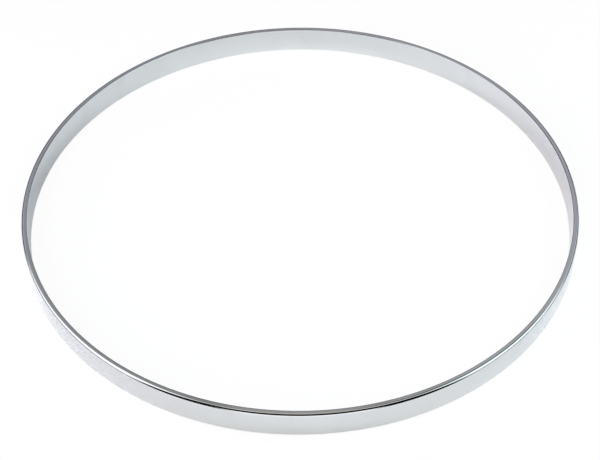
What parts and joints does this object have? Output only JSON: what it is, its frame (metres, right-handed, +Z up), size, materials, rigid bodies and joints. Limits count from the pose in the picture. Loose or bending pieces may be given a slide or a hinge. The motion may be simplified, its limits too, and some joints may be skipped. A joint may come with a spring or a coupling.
{
  "type": "drum hoop",
  "caption": "Straight drum counter-hoop: a flat steel bar, rounded outside and eased inside, rolled into a ring, butt-welded, ground flush outside and chrome-plated.",
  "frame": {"origin": "centre of the ring, on the plane of its lower edge", "axes": "+Z up along the ring's axis; +Y to the back, with the butt weld at the front, on -Y"},
  "size_m": [0.366, 0.366, 0.019],
  "materials": {
    "chrome_plate": "polished"
  },
  "bodies": {
    "root": {"hoop_bar": "chrome_plate", "butt_weld": "chrome_plate"}
  },
  "joints": []
}
